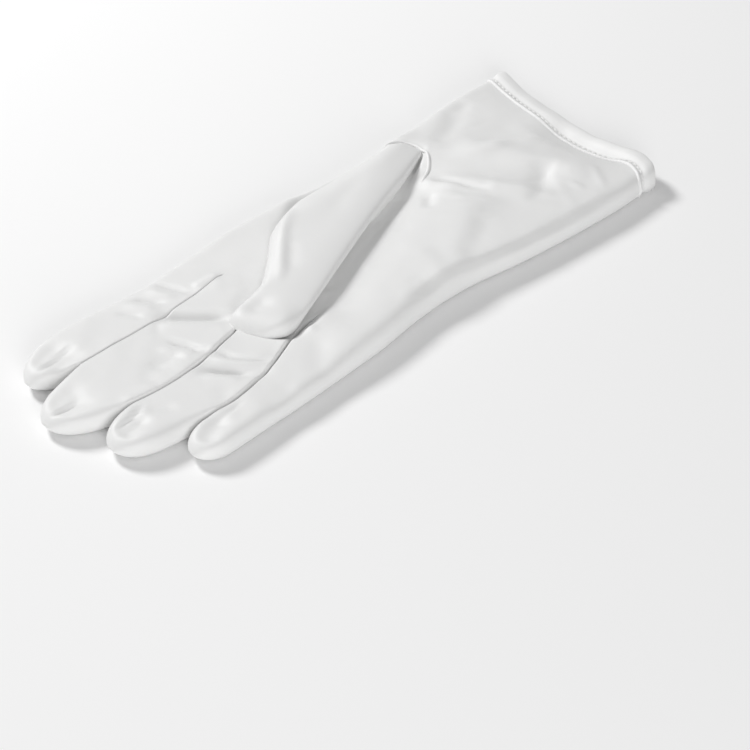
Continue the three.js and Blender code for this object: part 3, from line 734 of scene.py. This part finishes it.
# %% [markdown]
# ## The turned hem
# The mouth's edge is turned over twice and stitched down, which makes a puffy band a centimetre deep with a
# row of stitches that pulls the cloth in. A bevelled curve would make an even cord. The band is swept round
# the mouth instead: one cross-section, walked round the loop of the two layers, on the hand's own surface.

# %% Weave the hem
HEM_PROUD = 0.75
HEM_THICKNESS = 2.0
HEM_SECTION = table(
    "at out",
    (0, -0.9), (0.02, 0.0), (0.07, 0.62), (0.18, 0.95), (0.3, 1.0), (0.42, 0.85), (0.52, 0.35),
    (0.62, -0.3), (0.7, -0.5), (0.77, -0.3), (0.84, 0.45), (0.9, 0.9), (0.95, 0.6), (0.98, 0.0), (1, -0.8),
)
HEM_STEPS, HEM_COLUMNS, HEM_LINING_STEP = 44, 30, 3
HEM_LINING_START, HEM_LINING_LIFT = 0.6, 0.5
STITCH_PITCH = 2.6
# The stitches pucker the band's inner half, and its outer half puffs up unevenly.
PUCKER, PUCKER_FROM = 0.06, (0.55, 0.8)
PUFF, PUFF_TO, PUFF_LENGTHS = 0.22, (0.5, 0.8), (7.3, 3.1)
FACING_THE_FLOOR = -0.7


def hem_loop():
    """Places round the mouth: a finger's share of the width, how far across it, and the layer."""
    fine = np.linspace(0, 1, HEM_COLUMNS + 1)
    order = range(len(FINGERS))
    upper = [(finger, share, True) for finger in order for share in fine[:-1]]
    lower = [(finger, share, False) for finger in reversed(order) for share in fine[:0:-1]]
    return upper + lower


def hem_place(loop, along):
    """Points of the hand's surface round the mouth, so many millimetres in."""
    points = np.empty((len(loop), 3))
    for finger in range(len(FINGERS)):
        for upper in (True, False):
            chosen = [i for i, place in enumerate(loop) if place[0] == finger and place[2] == upper]
            share = np.array([loop[i][1] for i in chosen])
            points[chosen] = hand_point(finger, share, np.full(len(chosen), float(along)), upper)
    return points


def running_length(line):
    """How far along the line each of its points is."""
    return np.concatenate([[0], np.cumsum(np.linalg.norm(np.diff(line, axis=0), axis=1))])


def outward_of(ring):
    """The way out of the band at each point of a ring round the mouth."""
    chord = np.roll(ring, -1, 0) - np.roll(ring, 1, 0)
    outward = np.stack([-chord[:, 2], np.zeros(len(ring)), chord[:, 0]], -1)
    return outward / np.linalg.norm(outward, axis=1, keepdims=True)


def weave_hem():
    loop = hem_loop()
    at = 0.5 - 0.5 * np.cos(np.pi * np.linspace(0, 1, HEM_STEPS))
    sections = []
    for share, out in zip(at, HEM_PROUD * read(HEM_SECTION, "out", at)):
        points = hem_place(loop, share * HEM_DEPTH)
        outward = outward_of(points)
        run = running_length(points)
        pucker = PUCKER * np.cos(2 * np.pi * run / STITCH_PITCH) * ease(share, *PUCKER_FROM)
        puff = PUFF * np.sin(run / PUFF_LENGTHS[0]) * np.sin(run / PUFF_LENGTHS[1] + 1)
        lift = out + (pucker + puff * (1 - ease(share, *PUFF_TO)))
        lift = np.where(outward[:, 2] < FACING_THE_FLOOR, np.minimum(lift, 0), lift)
        sections.append(points + outward * lift[:, None])
    for share in at[::-HEM_LINING_STEP]:
        points = hem_place(loop, mix(HEM_LINING_START, HEM_DEPTH, share))
        sections.append(points + outward_of(points) * (HEM_LINING_LIFT - HEM_THICKNESS))
    rings = len(sections)
    around = len(loop)
    faces = []
    for j in range(rings):
        for i in range(around):
            a, b = j * around + i, j * around + (i + 1) % around
            c, d = ((j + 1) % rings) * around + (i + 1) % around, ((j + 1) % rings) * around + i
            faces.append([a, b, c, d])
    return make_piece("silk_hem", np.vstack(sections), faces)


silk_hem = weave_hem()
print("faces of the hem:", len(silk_hem.data.polygons))

# %% [markdown]
# ## The hem's stitches
# A row of small stitches holds the turned hem down. They lie in the groove that their pull makes, each a
# short rounded bit of thread. A drawn texture would fade in a close view, so every stitch is modelled, all of
# them in one mesh, and only those under the glove, which nobody sees, are left out.

# %% Sew the hem
STITCH_LENGTH, STITCH_THREAD, STITCH_SIDES = 1.7, 0.5, 6
STITCH_AT, STITCH_LIFT = 0.7, -0.2
STITCH_TAPER = [(-1, 0.3), (-0.8, 0.85), (0, 1), (0.8, 0.85), (1, 0.3)]
UNDER_THE_GLOVE = -0.5


def tube_faces(first, rings, sides):
    """The faces of a closed tube, counted from its first point."""
    faces = []
    for start in range(first, first + (rings - 1) * sides, sides):
        for k in range(sides):
            a, b = start + k, start + (k + 1) % sides
            faces.append([a, b, b + sides, a + sides])
    last = first + (rings - 1) * sides
    return faces + [[first + k for k in reversed(range(sides))], [last + k for k in range(sides)]]


def sew_hem():
    """A row of stitches round the mouth, without those that the glove lies on."""
    ring = hem_place(hem_loop(), STITCH_AT * HEM_DEPTH)
    outward = outward_of(ring)
    ring = np.vstack([ring, ring[:1]])
    outward = np.vstack([outward, outward[:1]])
    run = running_length(ring)

    def at(values, place):
        return np.array([np.interp(place, run, values[:, axis]) for axis in range(3)])

    points, faces = [], []
    for centre in np.arange(STITCH_PITCH, run[-1] - STITCH_PITCH, STITCH_PITCH):
        if at(outward, centre)[2] < UNDER_THE_GLOVE:
            continue
        first = len(points)
        for along, size in STITCH_TAPER:
            place = centre + along * STITCH_LENGTH / 2
            out = at(outward, place)
            middle = at(ring, place) + STITCH_LIFT * out
            reach = STITCH_THREAD / 2 * size
            for turn in 2 * np.pi * np.arange(STITCH_SIDES) / STITCH_SIDES:
                points.append(middle + reach * (out * math.sin(turn) + np.array([0, math.cos(turn), 0])))
        faces += tube_faces(first, len(STITCH_TAPER), STITCH_SIDES)
    return make_piece("hem_stitches", points, faces)


hem_stitches = sew_hem()
print("faces of the hem's stitches:", len(hem_stitches.data.polygons))

# %% [markdown]
# ## The seam round the thumb's root
# A seam of a silk glove is sewn inside out and shows as a fine raised welt. The one round the root of the
# thumb shows best. A bump texture would fade at a grazing view. A thin tube laid on the silk and sunk by a
# third keeps its light and shade. A ray cast from above finds the silk's height under each point of its path.

# %% Find the silk
HIGH_ABOVE = 1.0


def surface_below(pieces):
    """A function that finds the height and the normal of the topmost silk at a place."""
    trees = []
    for piece in pieces:
        mesh = piece.data
        trees.append(BVHTree.FromPolygons([v.co for v in mesh.vertices], [p.vertices for p in mesh.polygons]))

    def height(x, y):
        start = Vector((x * MM, y * MM, HIGH_ABOVE)) + Vector((shift.x, shift.y, 0))
        hits = [tree.ray_cast(start, Vector((0, 0, -1))) for tree in trees]
        found = [hit for hit in hits if hit[0] is not None]
        if not found:
            return None
        best = max(found, key=lambda hit: hit[0].z)
        return best[0].z / MM, best[1]

    return height


silk_height = surface_below([silk_hand, silk_thumb, *fourchettes])
print("height of the silk on the thumb, in mm:", round(silk_height(20, 90)[0], 1))

# %% Lay the welt
WELT_WIDTH, WELT_SUNK, WELT_STEP = 1.3, 0.35, 0.8
WELT_SIDES, WELT_TAPER, WELT_END = 8, 3, 0.05
WELT_PATH_STEPS = 24
SMOOTHINGS = 2
THUMB_LOOP = [(37, 77), (31, 71), (25, 67.5), (20, 66.5), (15, 68), (10, 72), (7, 76), (4.5, 81)]


def welt(name, path):
    """A tube along a path seen from above, lying on the silk."""
    line = smooth_path(path, WELT_PATH_STEPS)
    run = running_length(line)
    wanted = np.linspace(0, run[-1], int(run[-1] / WELT_STEP))
    flat = np.stack([np.interp(wanted, run, line[:, 0]), np.interp(wanted, run, line[:, 1])], -1)
    spine, normals = [], []
    for x, y in flat:
        found = silk_height(x, y)
        if found:
            spine.append((x, y, found[0]))
            normals.append(found[1])
    spine = np.array(spine)
    for _ in range(SMOOTHINGS):
        spine[1:-1, 2] = 0.25 * spine[:-2, 2] + 0.5 * spine[1:-1, 2] + 0.25 * spine[2:, 2]
    tangents = np.gradient(spine, axis=0)
    tangents /= np.linalg.norm(tangents, axis=1, keepdims=True)
    points = []
    number = np.arange(len(spine))
    taper = np.sqrt(np.clip(np.minimum(number, number[::-1]) / WELT_TAPER, WELT_END, 1))
    for place, tangent, normal, size in zip(spine, tangents, normals, taper):
        up = np.array(normal) - tangent * np.dot(normal, tangent)
        up /= np.linalg.norm(up)
        side = np.cross(tangent, up)
        reach = 0.5 * WELT_WIDTH * size
        lift = (0.5 - WELT_SUNK) * WELT_WIDTH * size
        for k in range(WELT_SIDES):
            angle = 2 * math.pi * k / WELT_SIDES
            points.append(place + up * (reach * math.sin(angle) + lift) + side * reach * math.cos(angle))
    return make_piece(name, points, tube_faces(0, len(spine), WELT_SIDES))


thumb_welt = welt("welt_thumb_loop", THUMB_LOOP)
print("faces of the welt:", len(thumb_welt.data.polygons))

# %% [markdown]
# ## White silk
# Fine silk knit is bright and almost smooth, with a soft gloss that spreads along the folds. A photograph of
# cloth would tile and fix the light. The finish is worked out instead: a principled shader with sheen for the
# haze of fine fibres, and a bump from a node group that draws the knit's fine ribs and their unevenness.

# %% The knit as a node group
RIBS_PER_METRE = 1600.0


def knit_group():
    """The height of the knit's ribs and a cloudy shade, both from 0 to 1."""
    group = bpy.data.node_groups.new("Silk knit", "ShaderNodeTree")
    for socket, value in (("Turn", 0.0), ("Ribs per metre", RIBS_PER_METRE), ("Unevenness", 0.5)):
        made = group.interface.new_socket(socket, in_out="INPUT", socket_type="NodeSocketFloat")
        made.default_value = value
    for socket in ("Height", "Shade"):
        group.interface.new_socket(socket, in_out="OUTPUT", socket_type="NodeSocketFloat")
    nodes, links = group.nodes, group.links
    inputs, outputs = nodes.new("NodeGroupInput"), nodes.new("NodeGroupOutput")
    place = nodes.new("ShaderNodeTexCoord")
    turned = nodes.new("ShaderNodeVectorRotate")
    turned.rotation_type = "Z_AXIS"
    links.new(place.outputs["Object"], turned.inputs["Vector"])
    links.new(inputs.outputs["Turn"], turned.inputs["Angle"])
    ribs = nodes.new("ShaderNodeTexWave")
    ribs.bands_direction = "X"
    ribs.inputs["Distortion"].default_value = 1.2
    ribs.inputs["Detail"].default_value = 1.0
    ribs.inputs["Detail Scale"].default_value = 2.0
    links.new(turned.outputs["Vector"], ribs.inputs["Vector"])
    links.new(inputs.outputs["Ribs per metre"], ribs.inputs["Scale"])
    uneven = nodes.new("ShaderNodeTexNoise")
    uneven.inputs["Scale"].default_value = 900.0
    uneven.inputs["Detail"].default_value = 3.0
    links.new(turned.outputs["Vector"], uneven.inputs["Vector"])
    both = nodes.new("ShaderNodeMix")
    links.new(inputs.outputs["Unevenness"], both.inputs["Factor"])
    links.new(ribs.outputs["Fac"], both.inputs["A"])
    links.new(uneven.outputs["Fac"], both.inputs["B"])
    links.new(both.outputs["Result"], outputs.inputs["Height"])
    cloudy = nodes.new("ShaderNodeTexNoise")
    cloudy.inputs["Scale"].default_value = 40.0
    cloudy.inputs["Detail"].default_value = 2.0
    links.new(turned.outputs["Vector"], cloudy.inputs["Vector"])
    links.new(cloudy.outputs["Fac"], outputs.inputs["Shade"])
    return group


silk_knit = knit_group()
print("group:", silk_knit.name, [item.name for item in silk_knit.interface.items_tree])

# %% [markdown]
# ## The silk of each piece
# The pieces are cut from one cloth, but the thumb's ribs run along the thumb, the hem is three layers thick
# and so a little whiter, and the thread is smoother than the knit. One material for all would lose that, and
# four made by hand would drift apart, so one function makes them and takes what differs.

# %% The silk of each piece
ROUGHNESS, ROUGHNESS_SPREAD = 0.5, 0.05
TONE_SPREAD = 0.03


def white_silk(name, turn=0.0, bump=0.25, colour=(0.83, 0.83, 0.825)):
    """White silk whose ribs are turned by that angle."""
    material = bpy.data.materials.new(name)
    material.use_nodes = True
    nodes, links = material.node_tree.nodes, material.node_tree.links
    shader = nodes["Principled BSDF"]
    shader.inputs["Sheen Weight"].default_value = 0.25
    shader.inputs["Sheen Roughness"].default_value = 0.4
    shader.inputs["Specular IOR Level"].default_value = 0.4
    knit = nodes.new("ShaderNodeGroup")
    knit.node_tree = silk_knit
    knit.inputs["Turn"].default_value = turn
    knit.inputs["Ribs per metre"].default_value = RIBS_PER_METRE
    raised = nodes.new("ShaderNodeBump")
    raised.inputs["Strength"].default_value = bump
    raised.inputs["Distance"].default_value = 0.0001
    links.new(knit.outputs["Height"], raised.inputs["Height"])
    links.new(raised.outputs["Normal"], shader.inputs["Normal"])
    tone = nodes.new("ShaderNodeMix")
    tone.data_type = "RGBA"
    tone.inputs[6].default_value = (*[(1 - TONE_SPREAD) * channel for channel in colour], 1)
    tone.inputs[7].default_value = (*[min((1 + TONE_SPREAD) * channel, 1) for channel in colour], 1)
    links.new(knit.outputs["Shade"], tone.inputs[0])
    links.new(tone.outputs[2], shader.inputs["Base Color"])
    shine = nodes.new("ShaderNodeMapRange")
    shine.inputs["To Min"].default_value = ROUGHNESS - ROUGHNESS_SPREAD
    shine.inputs["To Max"].default_value = ROUGHNESS + ROUGHNESS_SPREAD
    links.new(knit.outputs["Shade"], shine.inputs["Value"])
    links.new(shine.outputs["Result"], shader.inputs["Roughness"])
    return material


hand_silk = white_silk("white_silk_hand")
thumb_silk = white_silk("white_silk_thumb", turn=THUMB_TILT)
hem_silk = white_silk("white_silk_hem", colour=(0.85, 0.85, 0.845))
seam_silk = white_silk("white_silk_seam", bump=0.15, colour=(0.87, 0.87, 0.865))
for piece, silk in [(silk_hand, hand_silk), (silk_thumb, thumb_silk), (silk_hem, hem_silk),
                    *[(each, hand_silk) for each in fourchettes],
                    (thumb_welt, seam_silk), (hem_stitches, seam_silk)]:
    piece.data.materials.append(silk)
    print(piece.name, "is made of", silk.name)

# %% [markdown]
# ## Joined to the frame
# Every piece says which body it rides on, which solids it stands for and which finish it takes. The welt and
# the stitches stand for none of the solids: they are too fine to be packed, and only dress the others.

# %% Ride and replace
for piece, nodes in [(silk_hand, ["hand"]), (silk_thumb, ["thumb"]), (silk_hem, ["cuff_hem"])]:
    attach(piece, "root")
    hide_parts(*nodes)
for piece in fourchettes:
    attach(piece, "root")
    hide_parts(piece.name.replace("silk_", ""))
for piece in [thumb_welt, hem_stitches]:
    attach(piece, "root")
print("pieces that stand for solids:", 3 + len(fourchettes), "and that only dress them:", 2)

# %% [markdown]
# ## The studio
# White cloth on a pale floor shows its form only by soft shade. Even light from all round would lose it, so
# one light comes from the thumb's side, low enough to draw the folds, a weaker and wider one from where the
# camera is, and an even sky fills the rest. The camera stands where the photograph was taken from: beyond the
# fingertips on the little finger's side, looking down.

# %% Floor and lights
FLOOR_SIZE, FLOOR_DROP = 6, 0.0004


def studio_floor():
    bpy.ops.mesh.primitive_plane_add(size=FLOOR_SIZE, location=(0, 0, -FLOOR_DROP))
    floor = bpy.context.object
    floor.name = "studio_floor"
    pale = bpy.data.materials.new("pale_floor")
    pale.use_nodes = True
    shader = pale.node_tree.nodes["Principled BSDF"]
    shader.inputs["Base Color"].default_value = (0.95, 0.95, 0.95, 1)
    shader.inputs["Roughness"].default_value = 0.9
    shader.inputs["Specular IOR Level"].default_value = 0.1
    floor.data.materials.append(pale)


def soft_light(name, place, size, power):
    """A round light of that size and power that looks at the middle of the glove."""
    lamp = bpy.data.lights.new(name, "AREA")
    lamp.shape = "DISK"
    lamp.size = size
    lamp.energy = power
    stand = bpy.data.objects.new(name, lamp)
    stand.location = place
    stand.rotation_euler = (-Vector(place)).to_track_quat("-Z", "Y").to_euler()
    bpy.context.scene.collection.objects.link(stand)


studio_floor()
soft_light("key_from_the_thumb_side", (1.15, 0.1, 0.95), 0.4, 15.5)
soft_light("fill_from_the_fingers", (-1.25, 0.8, 0.5), 0.8, 11)
sky = bpy.data.worlds.new("even_sky")
sky.use_nodes = True
sky.node_tree.nodes["Background"].inputs["Color"].default_value = (1, 1, 1, 1)
sky.node_tree.nodes["Background"].inputs["Strength"].default_value = 0.36
bpy.context.scene.world = sky
bpy.context.scene.view_settings.view_transform = "Standard"
print("lights:", [lamp.name for lamp in bpy.data.lights], "and", sky.name)

# %% Camera
CAMERA_PLACE = Vector((-0.5683, 0.5120, 0.5933))
CAMERA_AIM = Vector((-0.0510, 0.0300, 0.0))
SENSOR_WIDTH, FOCAL_LENGTH = 36, 124.8

lens = bpy.data.cameras.new("photo_view")
lens.sensor_width = SENSOR_WIDTH
lens.lens = FOCAL_LENGTH
camera = bpy.data.objects.new("photo_view", lens)
camera.location = CAMERA_PLACE
camera.rotation_euler = (CAMERA_AIM - CAMERA_PLACE).to_track_quat("-Z", "Y").to_euler()
bpy.context.scene.collection.objects.link(camera)
bpy.context.scene.camera = camera
print("the camera is", round((CAMERA_AIM - CAMERA_PLACE).length, 2), "m away")
